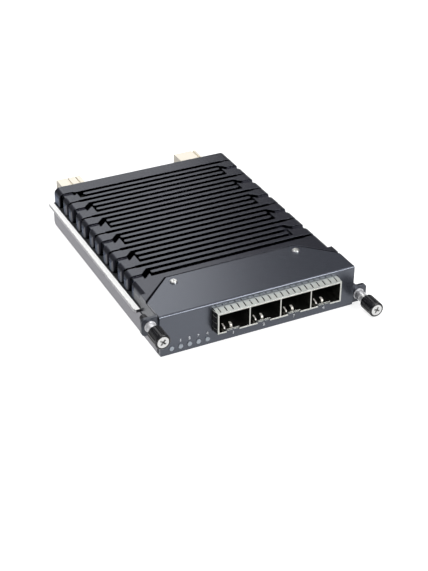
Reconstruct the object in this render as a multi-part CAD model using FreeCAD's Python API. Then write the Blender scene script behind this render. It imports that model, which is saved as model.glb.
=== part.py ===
import FreeCAD, Part
import math
import os

Vector = FreeCAD.Vector

# A plug-in line card lying flat. Sizes are in millimetres. X runs across the front panel, Y runs from the
# panel's face back into the chassis and Z is up. The origin is the middle of the panel's lower front edge.

# Front panel: one folded sheet, a face and a six-sided flange on top
panel_sheet = 1.2
panel_bend = 1.0
panel_corner = 0.4
panel_left_margin = 5.0
panel_right_margin = 9.025
lights_to_cage = 2.725
cage_headroom = 2.9
flange_straight = 12.0
flange_cut = 14.8
flange_rise = 0.2
flange_gap = 0.9
flange_corner = 0.6
flange_screw_inset = 1.4
flange_screw_setback = 4.4

# Mounting plate behind the face, with an ear high on the left and an ear low on the right
plate_sheet = 1.4
plate_step = 0.1
ear_rim = 3.8
ear_inner_rim = 4.0
ear_corner = 1.8
ear_root = 0.3
gusset = 2.6
foot_depth = 7.0
foot_inset = 2.0
foot_screw_inset = 4.0

# Cover: a cast heatsink
body_depth = 120.8
cover_step = 0.4
shoulder_radius = 3.1
shoulder_start = 19.0
cover_skin = 2.0
cover_weld = 0.5
thread_end_wall = 1.5
hood_wall = 1.4
hood_gap = 0.2
land_depth = 30.37
land_margin = 4.07
least_rear_bar = 5.0
end_recess = 2.0
rear_corner = 0.8
side_wall_step = 0.4

# Fins run across the cover. Every four of them make a unit with one pair of end blocks at each side.
fin_pitch = 4.03
fin_width = 1.8
fin_height = 4.5
low_fin_height = 1.7
fin_tip_setback = 4.0
fin_tip_flat = 0.04
gate_width = 1.3
notch_width = 3.9
notch_depth = 0.8
notch_length = 4.6
hook_gap_share = 0.75
block_corner = 2.2
bar_corner = 1.0

# Tray and guide rails
tray_step = 0.3
tray_sheet = 1.0
tray_height = 10.25
tray_bend = 0.8
tray_rear_lip = 4.4
tray_rear_bevel = 2.2
bevel_overrun = 0.5
bevel_overcut = 0.01
rail_reach = 2.1
rail_overlap = 3.8
rail_height = 1.45
rail_setback = 0.5
rail_lead = 1.5
rail_lead_depth = 0.6

# Circuit board and what stands on it
standoff_height = 4.2
standoff_radius = 2.5
standoff_inset = 4.0
standoff_back = 10.4
board_thickness = 1.6
board_front_gap = 1.0
board_side_gap = 0.8
board_rear_gap = 0.4
pillar_radius = 2.4
pillar_inset = 5.1
pillar_front_gap = 7.6
pillar_rear_gap = 14.8
chip_size = 27.0
chip_height = 1.6
chip_rim = 2.0
chip_offset = -4.0
pad_thickness = 0.9
pad_size = 24.0
pad_margin = 0.5
phy_size = 14.0
phy_height = 1.4
phy_offset = 24.0
phy_gaps = (15.6, 22.0)
inductor_size = 8.0
inductor_height = 4.0
inductor_offset = -30.0
inductor_gaps = (17.6, 29.6)
capacitor_radius = 2.6
capacitor_height = 5.2
capacitor_base = 0.8
capacitor_offset = -22.0
capacitor_gaps = (34.8, 27.8, 20.8)

# Ganged cage with four ports
port_count = 4
port_pitch = 14.25
cage_slack = 0.25
cage_height = 9.3
cage_reach = 4.4
cage_depth = 48.8
cage_sheet = 0.45
divider_sheet = 0.5
cage_opening_gap = 0.75
latch_width = 5.7
latch_offset = 3.4
latch_rise = 0.9
latch_length = 4.0
latch_sheet = 0.25
collar_sheet = 0.2
collar_bow = 0.4
collar_band = 0.9
collar_length = 6.4
collar_slot_pitch = 2.85
collar_slot_width = 0.5
collar_slot_length = 3.0
socket_width = 11.9
socket_height = 6.2
socket_depth = 9.0
socket_rear_gap = 2.4
socket_slot_height = 1.5
socket_slot_middle = 3.4
socket_slot_depth = 6.0
socket_wall = 1.2

# Indicator light pipes
light_count = 5
light_pitch = 4.0
light_height = 2.7
light_radius = 1.0
light_proud = 0.3
light_depth = 8.4
light_bar = 1.2

# Backplane connectors
left_connector_inset = 4.9
left_connector_width = 11.6
middle_connector_offset = -11.3
middle_connector_width = 12.6
right_connector_inset = 8.7
right_connector_width = 11.4
outer_connector_height = 9.2
middle_connector_height = 6.6
left_connector_reach = 13.2
middle_connector_reach = 9.2
right_connector_reach = 14.2
connector_overlap = 5.5
connector_drop = 2.0
connector_wall = 1.2
slot_width = 0.9
slot_pitch = 2.0
slot_depth = 7.0
blade_thickness = 0.4
blade_setback = 2.0
groove_depth = 1.0
left_key_grooves = ((6.7, 0.8), (2.6, 0.6))
right_key_grooves = ((2.2, 1.2),)
floor_corner = 0.6
roof_corner = 0.8
lip_corner = 0.4

# Captive thumbscrews
left_drawn = 11.3
right_drawn = 13.4
knob_radius = 3.3
knob_length = 8.0
knob_side_gap = 0.3
knob_ribs = 16
knob_groove = 0.35
knob_groove_share = 0.6
knob_brim = 0.9
knob_chamfer = 0.3
disc_radius = 2.45
disc_thickness = 1.2
shank_radius = 1.7
ferrule_radius = 2.2
ferrule_reach = 3.4
ferrule_flange = 2.5
ferrule_flange_thickness = 0.3
ring_back = 16.2
ring_radius = 2.1
ring_thickness = 0.5
ring_groove_radius = 1.25
ring_mouth = 1.4
thread_radius = 1.5
thread_chamfer = 0.4
screw_length = 20.2
disc_recess_reach = 1.5
disc_recess_width = 0.8
disc_recess_depth = 1.4
left_recess_turn = 40.0
right_recess_turn = 25.0

# Small fasteners
small_head_radius = 1.6
small_head_height = 0.75
small_head_crown = 0.35
small_shank_radius = 1.0
small_screw_bite = 2.6
small_recess_reach = 0.9
small_recess_width = 0.5
small_recess_depth = 0.5
tray_screw_radius = 1.5
tray_screw_head = 2.9
cover_screw_bite = 6.0
foot_screw_bite = 1.3
tray_recess_reach = 1.5
tray_recess_width = 0.7
tray_recess_depth = 0.7

# Clearances
running = 0.05
slip = 0.3
seat_gap = 0.1

# Places that follow from the sizes above
cage_width = port_count * port_pitch + cage_slack
lights_span = (light_count - 1) * light_pitch
panel_width = panel_left_margin + lights_span + lights_to_cage + cage_width + panel_right_margin
half_panel = panel_width / 2
half_cover = half_panel - cover_step
half_tray = half_panel + tray_step
half_rail = half_tray + rail_reach
half_board = half_tray - tray_sheet - board_side_gap
tray_inside = half_tray - tray_sheet
rail_inner = half_tray - rail_overlap
rail_front = shoulder_start + rail_setback
light_first = -half_panel + panel_left_margin
light_last = light_first + lights_span
cage_right = half_panel - panel_right_margin
cage_left = cage_right - cage_width
cage_center = (cage_left + cage_right) / 2
cage_front = -cage_reach
cage_rear = cage_front + cage_depth
board_bottom = tray_sheet + standoff_height
board_top = board_bottom + board_thickness
cage_bottom = board_top
cage_top = board_top + cage_height
port_floor = cage_bottom + cage_sheet
port_ceiling = cage_top - cage_sheet
hood_under = cage_top + hood_gap
top = cage_top + cage_headroom
plate_front = panel_sheet
plate_rear = panel_sheet + plate_sheet
flange_depth = land_depth - land_margin
flange_rear_half = half_panel - flange_cut
flange_screw_x = flange_rear_half - flange_screw_inset
flange_screw_back = flange_depth - flange_screw_setback
land_top = top - flange_rise
flange_floor = top - panel_sheet
groove_floor = top - fin_height
low_groove_floor = top - low_fin_height
cover_under = groove_floor - cover_skin
rail_top = tray_height + rail_height
groove_width = fin_pitch - fin_width
fin_room = body_depth - least_rear_bar - land_depth - groove_width
fin_count = 4 * int(fin_room / (4 * fin_pitch))
bar_front = land_depth + groove_width + fin_count * fin_pitch
core_half = half_cover - end_recess
side_wall_inside = rail_inner + side_wall_step
notch_reach = core_half - notch_length
fin_tip_reach = notch_reach - fin_tip_setback
hook_run = (fin_pitch - fin_width + notch_width) / 2
board_front = plate_rear + board_front_gap
board_rear = body_depth - tray_sheet - board_rear_gap
connector_front = board_rear - connector_overlap
pillar_x = half_board - pillar_inset
pillar_back = (cage_rear + pillar_front_gap, body_depth - pillar_rear_gap)
chip_place = (chip_offset, (cage_rear + connector_front) / 2)
chip_top = board_top + chip_height
pad_top = chip_top + pad_thickness
standoff_x = half_board - standoff_inset
standoff_rows = (board_front + standoff_back, chip_place[1])
standoff_places = [(side * standoff_x, y) for y in standoff_rows for side in (-1, 1)]
phy_places = [(phy_offset, cage_rear + phy_gaps[0]), (phy_offset, body_depth - phy_gaps[1])]
inductor_places = [(inductor_offset, cage_rear + gap) for gap in inductor_gaps]
capacitor_places = [(capacitor_offset, body_depth - gap) for gap in capacitor_gaps]
socket_rear = cage_rear - socket_rear_gap
socket_front = socket_rear - socket_depth
screw_outset = knob_radius + knob_side_gap
screw_x = half_panel + screw_outset
screw_edge = ear_rim
ear_height = ear_rim + ear_inner_rim
ear_reach = screw_outset + ear_rim


def box(x0, x1, y0, y1, z0, z1):
    return Part.makeBox(x1 - x0, y1 - y0, z1 - z0, Vector(x0, y0, z0))


def post(radius, x, y, z0, z1):
    """An upright cylinder."""
    return Part.makeCylinder(radius, z1 - z0, Vector(x, y, z0), Vector(0, 0, 1))


def rod(radius, x, z, y0, y1):
    """A cylinder that runs from front to back."""
    return Part.makeCylinder(radius, y1 - y0, Vector(x, y0, z), Vector(0, 1, 0))


def cut(shape, *tools):
    return shape.cut(list(tools)) if tools else shape


def join(shapes):
    """One solid from pieces that touch or overlap."""
    return shapes[0].fuse(shapes[1:]).removeSplitter() if len(shapes) > 1 else shapes[0]


def group(shapes):
    return Part.makeCompound(shapes)


def outline(corners, place):
    """A closed face through corners (u, v, radius). place turns u, v into a point in space."""
    rounded = []
    count = len(corners)
    for index, (u, v, radius) in enumerate(corners):
        here = Vector(u, v, 0)
        if radius == 0:
            rounded.append((here, None, here))
            continue
        before = corners[index - 1]
        after = corners[(index + 1) % count]
        to_before = (Vector(before[0], before[1], 0) - here).normalize()
        to_after = (Vector(after[0], after[1], 0) - here).normalize()
        half_angle = to_before.getAngle(to_after) / 2
        setback = radius / math.tan(half_angle)
        inward = (to_before + to_after).normalize()
        middle = here + inward * (radius / math.sin(half_angle) - radius)
        rounded.append((here + to_before * setback, middle, here + to_after * setback))
    edges = []
    for index, (start, middle, end) in enumerate(rounded):
        following = rounded[(index + 1) % count][0]
        if middle is not None:
            edges.append(Part.Arc(place(start), place(middle), place(end)).toShape())
        if (following - end).Length > 1e-6:
            edges.append(Part.LineSegment(place(end), place(following)).toShape())
    return Part.Face(Part.Wire(edges))


def plan_prism(corners, z0, z1):
    """A prism that stands on an outline in plan, given as (x, y, radius)."""
    face = outline(corners, lambda p: Vector(p.x, p.y, z0))
    return face.extrude(Vector(0, 0, z1 - z0))


def front_prism(corners, y0, y1):
    """A prism from front to back with an outline given as (x, z, radius)."""
    face = outline(corners, lambda p: Vector(p.x, y0, p.y))
    return face.extrude(Vector(0, y1 - y0, 0))


def side_prism(corners, x0, x1):
    """A prism across the card with an outline given as (y, z, radius)."""
    face = outline(corners, lambda p: Vector(x0, p.x, p.y))
    return face.extrude(Vector(x1 - x0, 0, 0))


def mirror_x(corners, side):
    """The same corners on the left (side -1) or on the right (side 1)."""
    return [(side * x, y, radius) for x, y, radius in corners]


def cross_recess(x, z, face_y, turn):
    """The tool for a cross recess in the disc of a thumbscrew, turned about the screw's axis."""
    arm = disc_recess_width / 2
    reach = disc_recess_reach
    start = face_y - seat_gap
    end = face_y + disc_recess_depth
    tool = join([
        box(x - reach, x + reach, start, end, z - arm, z + arm),
        box(x - arm, x + arm, start, end, z - reach, z + reach),
    ])
    tool.rotate(Vector(x, 0, z), Vector(0, 1, 0), turn)
    return tool


def fin_y(index):
    """The middle of a fin, counted from the rear, where fin 1 is next to the rear bar."""
    return bar_front - groove_width - fin_width / 2 - fin_pitch * (index - 1)


def flange_outline(grow):
    """The flange's outline in plan, grown by a gap."""
    half = half_panel - plate_step + grow
    rear_half = flange_rear_half + grow / 2
    corner = flange_corner
    return [
        (-half, panel_sheet, 0),
        (half, panel_sheet, 0),
        (half, flange_straight + grow, corner),
        (rear_half, flange_depth + grow, corner),
        (-rear_half, flange_depth + grow, corner),
        (-half, flange_straight + grow, corner),
    ]


def end_block(index):
    """Which end of a fin is widened into a block: its side, and the way that the block grows."""
    place = index % 4
    return {3: (-1, -1), 2: (-1, 1), 1: (1, -1), 0: (1, 1)}[place]


def block_reaches(index):
    """The near and the far edge of a fin's end block, in Y."""
    growth = end_block(index)[1]
    near = fin_y(index) - growth * (fin_pitch - gate_width) / 2
    far = fin_y(index) + growth * (1.5 * fin_pitch - notch_width / 2)
    return near, far


def fin_outline(index):
    """A fin with a round tip at one end and a block at the other: (distance from middle, y, radius)."""
    growth = end_block(index)[1]
    near, far = block_reaches(index)
    near_side = fin_y(index) - growth * fin_width / 2
    far_side = fin_y(index) + growth * fin_width / 2
    tip = (fin_width - fin_tip_flat) / 2
    corners = [
        (-fin_tip_reach, near_side, tip),
        (notch_reach, near_side, 0),
        (notch_reach + abs(near - near_side), near, 0),
        (half_cover, near, block_corner),
        (half_cover, far, block_corner),
        (notch_reach, far, 0),
    ]
    if growth < 0:
        corners.append((notch_reach - abs(far - far_side), far_side, 0))
    else:
        hook = min(hook_run, bar_front - far - hook_gap_share * groove_width)
        corners.append((notch_reach - hook, far + hook, 0))
        corners.append((notch_reach - hook, far_side, 0))
    corners.append((-fin_tip_reach, far_side, tip))
    return corners


def notches():
    """The shallow notches between end blocks: side, front edge and rear edge."""
    places = []
    for index in range(1, fin_count + 1):
        side, growth = end_block(index)
        far = block_reaches(index)[1]
        if growth < 0:
            places.append((side, far - notch_width, far))
    rearmost = block_reaches(2)[1]
    places.append((-1, rearmost, rearmost + notch_width))
    return places


def end_pad_outline(near, far):
    """The outer end of a block, down the side of the cover."""
    return [
        (core_half - cover_weld, near, 0),
        (half_cover, near, block_corner),
        (half_cover, far, block_corner),
        (core_half - cover_weld, far, 0),
    ]


def make_heatsink():
    """The cast cover: a thin deck, fins with serpentine end blocks, a rear bar and a flat front land."""
    pieces = [box(-core_half, core_half, plate_rear, body_depth, cover_under, groove_floor)]
    for side in (-1, 1):
        low, high = sorted((side * side_wall_inside, side * core_half))
        pieces.append(box(low, high, rail_front, body_depth, rail_top, groove_floor))
    if cage_rear > land_depth:
        pieces.append(box(cage_left - hood_wall, cage_right + hood_wall, land_depth - 1,
                          cage_rear + hood_wall, groove_floor, low_groove_floor))

    # Fins, their end blocks and the shallow notch between two blocks
    for index in range(1, fin_count + 1):
        side = end_block(index)[0]
        near, far = block_reaches(index)
        pieces.append(plan_prism(mirror_x(fin_outline(index), side), groove_floor, top))
        pieces.append(plan_prism(mirror_x(end_pad_outline(near, far), side), rail_top, groove_floor))
    for side, front, rear in notches():
        low, high = sorted((side * notch_reach, side * core_half))
        pieces.append(box(low, high, front, rear, groove_floor, top - notch_depth))

    # Rear bar and front land close the pattern
    left_bar_edge = block_reaches(2)[1] + notch_width
    right_bar_edge = block_reaches(1)[0] + gate_width
    bar = [
        (-half_cover, body_depth, rear_corner),
        (-half_cover, left_bar_edge, bar_corner),
        (-notch_reach, left_bar_edge, 0),
        (-notch_reach + left_bar_edge - bar_front, bar_front, 0),
        (notch_reach, bar_front, 0),
        (notch_reach + bar_front - right_bar_edge, right_bar_edge, 0),
        (half_cover, right_bar_edge, bar_corner),
        (half_cover, body_depth, rear_corner),
    ]
    pieces.append(plan_prism(bar, rail_top, top))
    left_land_edge = block_reaches(fin_count - 1)[1] - notch_width
    right_land_edge = block_reaches(fin_count)[0] - gate_width
    land = [
        (-half_cover, shoulder_start - 1, 0),
        (-half_cover, left_land_edge, bar_corner),
        (-notch_reach, left_land_edge, 0),
        (-notch_reach + hook_run, left_land_edge + hook_run, 0),
        (-notch_reach + hook_run, land_depth, 0),
        (notch_reach, land_depth, 0),
        (notch_reach + right_land_edge - land_depth, right_land_edge, 0),
        (half_cover, right_land_edge, bar_corner),
        (half_cover, shoulder_start - 1, 0),
    ]
    pieces.append(plan_prism(land, rail_top, land_top))
    cover = join(pieces)

    # Rounded shoulders along both sides
    shoulders = front_prism([
        (-half_cover, tray_height, 0), (half_cover, tray_height, 0),
        (half_cover, top, shoulder_radius), (-half_cover, top, shoulder_radius),
    ], plate_rear, body_depth)
    cover = cover.common(shoulders)
    nose = box(-half_panel, half_panel, plate_rear, shoulder_start, tray_height, land_top)
    cover = cover.fuse(nose).removeSplitter()

    # Room below the deck for the board, the cage and the connectors
    inside = half_panel - cover_skin
    hollows = [
        box(-inside, inside, plate_rear - 1, rail_front + cover_weld, tray_height - 1, cover_under),
        box(-side_wall_inside, side_wall_inside, rail_front, body_depth + 1, tray_height, cover_under),
        box(cage_left - slip, cage_right + slip, plate_rear - 1, cage_rear + slip, tray_height,
            hood_under),
        plan_prism(flange_outline(flange_gap), flange_floor, top + 1),
    ]
    for left, right, height, _ in backplane_connectors().values():
        hollows.append(box(left - slip, right + slip, bar_front, body_depth + 1, tray_height,
                           board_top + height + slip))
    for side in (-1, 1):
        low, high = sorted((side * (rail_inner - slip), side * half_rail))
        hollows.append(box(low, high, rail_front, body_depth + 1, tray_height, rail_top))
        hollows.append(post(small_shank_radius + running, side * flange_screw_x, flange_screw_back,
                            cover_under - 1, top))
    cover = cut(cover, *hollows)

    # Pillars down to the tray, and the pedestal that presses on the chip
    feet = []
    for y in pillar_back:
        for side in (-1, 1):
            feet.append(post(pillar_radius, side * pillar_x, y, tray_sheet, cover_under + cover_weld))
    half_pad = pad_size / 2
    chip_x, chip_y = chip_place
    feet.append(box(chip_x - half_pad, chip_x + half_pad, chip_y - half_pad, chip_y + half_pad, pad_top,
                    cover_under + cover_weld))
    cover = cover.fuse(feet).removeSplitter()
    threads = []
    for y in pillar_back:
        for side in (-1, 1):
            threads.append(post(tray_screw_radius + running, side * pillar_x, y, 0,
                                cover_under - thread_end_wall))
    return cut(cover, *threads)


def make_front_panel():
    """Face and flange folded from one sheet, with a tight bend along the top front edge."""
    half = half_panel
    face = front_prism([
        (-half, 0, panel_corner), (half, 0, panel_corner),
        (half, flange_floor, 0), (-half, flange_floor, 0),
    ], 0, panel_sheet)
    bend = side_prism([
        (0, flange_floor, 0), (0, top, panel_bend), (panel_sheet, top, 0), (panel_sheet, flange_floor, 0),
    ], -half, half)
    flange = plan_prism(flange_outline(0), flange_floor, top)
    panel = join([face, bend, flange])
    gap = cage_opening_gap
    tools = [box(cage_left - gap, cage_right + gap, -1, panel_sheet + running, cage_bottom - gap,
                 cage_top + gap)]
    for index in range(light_count):
        tools.append(rod(light_radius + running, light_first + index * light_pitch, light_height, -1,
                         panel_sheet + running))
    for side in (-1, 1):
        tools.append(post(small_shank_radius + slip, side * flange_screw_x, flange_screw_back,
                          flange_floor - 1, top + 1))
    return cut(panel, *tools)


def make_mounting_plate():
    """Flat sheet behind the face. One ear is high and the other is low, so cards can stand close."""
    half = half_panel - plate_step
    under_flange = flange_floor - seat_gap
    reach = half_panel + ear_reach
    left_low = top - ear_height
    root = half_panel + ear_root
    corners = [
        (-half, 0, 0),
        (reach, 0, ear_corner),
        (reach, ear_height, ear_corner),
        (root + gusset, ear_height, 0),
        (half, ear_height + gusset + ear_root, 0),
        (half, under_flange, 0),
        (-root, under_flange, 0),
        (-root, top, 0),
        (-reach, top, ear_corner),
        (-reach, left_low, ear_corner),
        (-root - gusset, left_low, 0),
        (-half, left_low - gusset - ear_root, 0),
    ]
    plate = front_prism(corners, plate_front, plate_rear)
    foot = box(cage_left + foot_inset, cage_right, plate_front, plate_rear + foot_depth, tray_sheet,
               tray_sheet + plate_sheet)
    plate = join([plate, foot])
    gap = cage_opening_gap
    tools = [box(cage_left - gap, cage_right + gap, plate_front - 1, plate_rear + 1, cage_bottom - gap,
                 cage_top + gap)]
    for index in range(light_count):
        tools.append(rod(light_radius + running, light_first + index * light_pitch, light_height,
                         plate_front - 1, plate_rear + 1))
    for side in (-1, 1):
        tools.append(rod(ferrule_radius, side * screw_x, screw_height(side), plate_front - 1,
                         plate_rear + 1))
    for x in foot_screw_places():
        tools.append(post(tray_screw_radius, x, plate_rear + foot_depth / 2, tray_sheet - 1,
                          tray_sheet + plate_sheet + 1))
    return cut(plate, *tools)


def foot_screw_places():
    return (cage_left + foot_inset + foot_screw_inset, cage_right - foot_screw_inset)


def make_tray():
    """Folded tray: a floor, two side walls and a low lip at the rear."""
    outer = front_prism([
        (-half_tray, 0, tray_bend), (half_tray, 0, tray_bend),
        (half_tray, tray_height, 0), (-half_tray, tray_height, 0),
    ], plate_rear, body_depth)
    wall = tray_inside
    inner = box(-wall, wall, plate_rear - 1, body_depth - tray_sheet, tray_sheet, tray_height + 1)
    over_lip = box(-wall, wall, body_depth - tray_sheet - 1, body_depth + 1, tray_rear_lip,
                   tray_height + 1)
    beyond = body_depth + bevel_overrun
    bevel_corners = [
        (body_depth - tray_rear_bevel, -bevel_overrun, 0), (beyond, -bevel_overrun, 0),
        (beyond, tray_rear_bevel, 0),
    ]
    bevel_inside = wall - bevel_overcut
    tray = cut(outer, inner, over_lip,
               side_prism(bevel_corners, -half_tray - 1, -bevel_inside),
               side_prism(bevel_corners, bevel_inside, half_tray + 1))
    return cut(tray, *[countersink(x, y) for x, y in tray_screw_places()])


def tray_screw_places():
    """Screws from below: four into the cover's pillars and two into the mounting plate's foot."""
    places = [(side * pillar_x, y) for y in pillar_back for side in (-1, 1)]
    places += [(x, plate_rear + foot_depth / 2) for x in foot_screw_places()]
    return places


def screw_cone(x, y):
    """The tapered head of a countersunk screw, flush with the tray's underside."""
    return Part.makeCone(tray_screw_head, tray_screw_radius, tray_sheet, Vector(x, y, 0), Vector(0, 0, 1))


def countersink(x, y):
    return screw_cone(x, y).fuse(post(tray_screw_radius, x, y, -1, tray_sheet + 1))


def make_rail(side):
    """A flat bar that lies on the tray's wall, carries the cover and runs in the chassis guide."""
    low, high = sorted((side * rail_inner, side * half_rail))
    rail = box(low, high, rail_front, body_depth, tray_height, rail_top)
    narrow = half_rail - rail_lead_depth
    ramp = [
        (half_rail + 1, rail_front - 1, 0), (half_rail + 1, rail_front + rail_lead, 0),
        (half_rail, rail_front + rail_lead, 0), (narrow, rail_front, 0), (narrow, rail_front - 1, 0),
    ]
    return cut(rail, plan_prism(mirror_x(ramp, side), tray_height - 1, rail_top + 1))


def make_pan_screw(x, y, seat, length):
    """A small pan-head screw that stands upright, its recess facing up."""
    crown = small_head_crown
    head = post(small_head_radius, x, y, seat, seat + small_head_height - crown)
    dome = Part.makeCone(small_head_radius, small_head_radius - crown, crown,
                         Vector(x, y, seat + small_head_height - crown), Vector(0, 0, 1))
    shank = post(small_shank_radius, x, y, seat - length, seat)
    arm = small_recess_width / 2
    reach = small_recess_reach
    deep = seat + small_head_height - small_recess_depth
    tools = [
        box(x - reach, x + reach, y - arm, y + arm, deep, seat + 2),
        box(x - arm, x + arm, y - reach, y + reach, deep, seat + 2),
    ]
    return cut(join([head, dome, shank]), *tools)


def make_flange_screws():
    seat = top
    length = seat - hood_under
    return group([make_pan_screw(side * flange_screw_x, flange_screw_back, seat, length)
                  for side in (-1, 1)])


def make_tray_screws(places, length):
    """Countersunk screws driven from below."""
    screws = []
    for x, y in places:
        shank = post(tray_screw_radius, x, y, tray_sheet, tray_sheet + length)
        arm = tray_recess_width / 2
        reach = tray_recess_reach
        tools = [
            box(x - reach, x + reach, y - arm, y + arm, -1, tray_recess_depth),
            box(x - arm, x + arm, y - reach, y + reach, -1, tray_recess_depth),
        ]
        screws.append(cut(join([screw_cone(x, y), shank]), *tools))
    return group(screws)


def make_port_cage():
    """Folded cage: roof, side walls and a rear wall. The floor and the dividers are separate."""
    outer = box(cage_left, cage_right, cage_front, cage_rear, cage_bottom, cage_top)
    inner = box(cage_left + cage_sheet, cage_right - cage_sheet, cage_front - 1, cage_rear - cage_sheet,
                cage_bottom - 1, port_ceiling)
    return cut(outer, inner)


def port_left(port):
    """The left inner wall of a port, counted from 0."""
    if port == 0:
        return cage_left + cage_sheet
    first = cage_center - port_count / 2 * port_pitch
    return first + port * port_pitch + divider_sheet / 2


def latch_lefts():
    """The left edge of the latch tab in each port."""
    return [port_left(port) + latch_offset for port in range(port_count)]


def make_cage_floor():
    """Floor of the cage, which ends ahead of the sockets. A latch tab rises in each port's mouth."""
    floor = box(cage_left + cage_sheet, cage_right - cage_sheet, cage_front, socket_front - slip,
                cage_bottom, port_floor)
    root = cage_front + latch_length
    crest = port_floor + latch_rise
    windows = []
    tabs = []
    for left in latch_lefts():
        windows.append(box(left - seat_gap, left + latch_width + seat_gap, cage_front - 1, root,
                           cage_bottom - 1, port_floor + 1))
        tabs.append(side_prism([
            (cage_front, crest - latch_sheet, 0), (root, cage_bottom, 0),
            (root + latch_sheet, cage_bottom, 0), (root + latch_sheet, port_floor, 0),
            (root, port_floor, 0), (cage_front, crest, 0),
        ], left, left + latch_width))
    return cut(floor, *windows).fuse(tabs).removeSplitter()


def make_divider(index):
    x = cage_center + (index - port_count / 2) * port_pitch
    half = divider_sheet / 2
    return box(x - half, x + half, cage_front, cage_rear - cage_sheet, port_floor, port_ceiling)


def bowed_strip(across, outward, width):
    """A thin strip from front to back that bows outward. across and outward are unit vectors."""
    start = cage_front + collar_band
    end = cage_front + collar_length
    run = (end - start) / 3
    path = [(cage_front, 0), (start, 0), (start + run, collar_bow), (end - run, collar_bow), (end, 0)]
    profile = [(y, height + collar_sheet) for y, height in path] + path[::-1]
    points = [Vector(0, y, 0) + outward * height for y, height in profile]
    return Part.Face(Part.makePolygon(points + points[:1])).extrude(across * width)


def slot_starts(width):
    """Where the slots in a strip of this width start."""
    count = int(width / collar_slot_pitch)
    first = (width - (count - 1) * collar_slot_pitch - collar_slot_width) / 2
    return [first + index * collar_slot_pitch for index in range(count)]


def make_spring_collar():
    """Grounding collar round the cage's mouth: four bowed strips with slots, bent from one thin sheet."""
    slot_front = cage_front + collar_band
    slot_rear = slot_front + collar_slot_length
    reach = collar_bow + 2 * collar_sheet
    pieces = []
    tools = []
    for z, way in ((cage_top, 1), (cage_bottom, -1)):
        strip = bowed_strip(Vector(1, 0, 0), Vector(0, 0, way), cage_width + 2 * collar_sheet)
        strip.translate(Vector(cage_left - collar_sheet, 0, z))
        pieces.append(strip)
        low, high = sorted((z - way, z + way * reach))
        for start in slot_starts(cage_width):
            x = cage_left + start
            tools.append(box(x, x + collar_slot_width, slot_front, slot_rear, low, high))
    for x, way in ((cage_left, -1), (cage_right, 1)):
        strip = bowed_strip(Vector(0, 0, 1), Vector(way, 0, 0), cage_height + 2 * collar_sheet)
        strip.translate(Vector(x, 0, cage_bottom - collar_sheet))
        pieces.append(strip)
        low, high = sorted((x - way, x + way * reach))
        for start in slot_starts(cage_height):
            z = cage_bottom + start
            tools.append(box(low, high, slot_front, slot_rear, z, z + collar_slot_width))
    for left in latch_lefts():
        tools.append(box(left, left + latch_width, cage_front - 1, slot_front, cage_bottom - 1,
                         cage_bottom))
    return cut(join(pieces), *tools)


def make_port_connector(port):
    """Moulded socket that takes the edge of a pluggable module."""
    x = cage_center + (port - (port_count - 1) / 2) * port_pitch
    half = socket_width / 2
    body = side_prism([
        (socket_front, board_top, 0), (socket_rear, board_top, 0),
        (socket_rear, board_top + socket_height, socket_wall),
        (socket_front, board_top + socket_height, socket_wall / 3),
    ], x - half, x + half)
    slot_half = half - socket_wall
    floor = board_top + socket_slot_middle - socket_slot_height / 2
    slot = box(x - slot_half, x + slot_half, socket_front - 1, socket_front + socket_slot_depth, floor,
               floor + socket_slot_height)
    return cut(body, slot)


def make_circuit_board():
    """The board, with round holes for the cover's pillars and for its own screws."""
    board = box(-half_board, half_board, board_front, board_rear, board_bottom, board_top)
    holes = [post(pillar_radius + slip, side * pillar_x, y, 0, board_top + 1)
             for y in pillar_back for side in (-1, 1)]
    holes += [post(small_shank_radius + seat_gap, x, y, 0, board_top + 1) for x, y in standoff_places]
    return cut(board, *holes)


def make_standoffs():
    """Hexagonal spacers, riveted into the tray's floor, with a blind thread for the board's screws."""
    posts = []
    for x, y in standoff_places:
        corners = []
        for index in range(6):
            angle = math.pi * index / 3
            corners.append((x + standoff_radius * math.cos(angle),
                            y + standoff_radius * math.sin(angle), 0))
        body = plan_prism(corners, tray_sheet, board_bottom)
        hole_end = board_bottom - small_screw_bite - slip
        hole = post(small_shank_radius + running, x, y, hole_end, board_bottom + 1)
        posts.append(cut(body, hole))
    return group(posts)


def make_board_screws():
    length = board_thickness + small_screw_bite
    return group([make_pan_screw(x, y, board_top, length) for x, y in standoff_places])


def make_square_parts(places, size, height):
    half = size / 2
    return group([box(x - half, x + half, y - half, y + half, board_top, board_top + height)
                  for x, y in places])


def make_chip():
    half = chip_size / 2
    x, y = chip_place
    lid_bottom = board_top + chip_height / 2
    base = box(x - half, x + half, y - half, y + half, board_top, lid_bottom)
    lid_half = half - chip_rim
    lid = box(x - lid_half, x + lid_half, y - lid_half, y + lid_half, lid_bottom, chip_top)
    return join([base, lid])


def make_thermal_pad():
    half = pad_size / 2 - pad_margin
    x, y = chip_place
    return box(x - half, x + half, y - half, y + half, chip_top, pad_top)


def make_capacitors():
    cans = []
    for x, y in capacitor_places:
        foot = capacitor_radius
        can_bottom = board_top + capacitor_base
        base = box(x - foot, x + foot, y - foot, y + foot, board_top, can_bottom)
        can = post(capacitor_radius - seat_gap, x, y, can_bottom, board_top + capacitor_height)
        cans.append(join([base, can]))
    return group(cans)


def make_light_pipes():
    """Five round pipes on one bar. Each turns up to a lamp on the board's underside."""
    riser = light_radius - 2 * seat_gap
    pieces = []
    for index in range(light_count):
        x = light_first + index * light_pitch
        pieces.append(rod(light_radius, x, light_height, -light_proud, light_depth))
        pieces.append(box(x - riser, x + riser, light_depth - 2 * riser, light_depth + seat_gap,
                          light_height - riser, board_bottom))
    bar_front_face = plate_rear + light_bar / 2
    pieces.append(box(light_first, light_last, bar_front_face, bar_front_face + light_bar,
                      light_height - light_bar / 2, light_height + light_bar / 2))
    return join(pieces)


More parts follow.
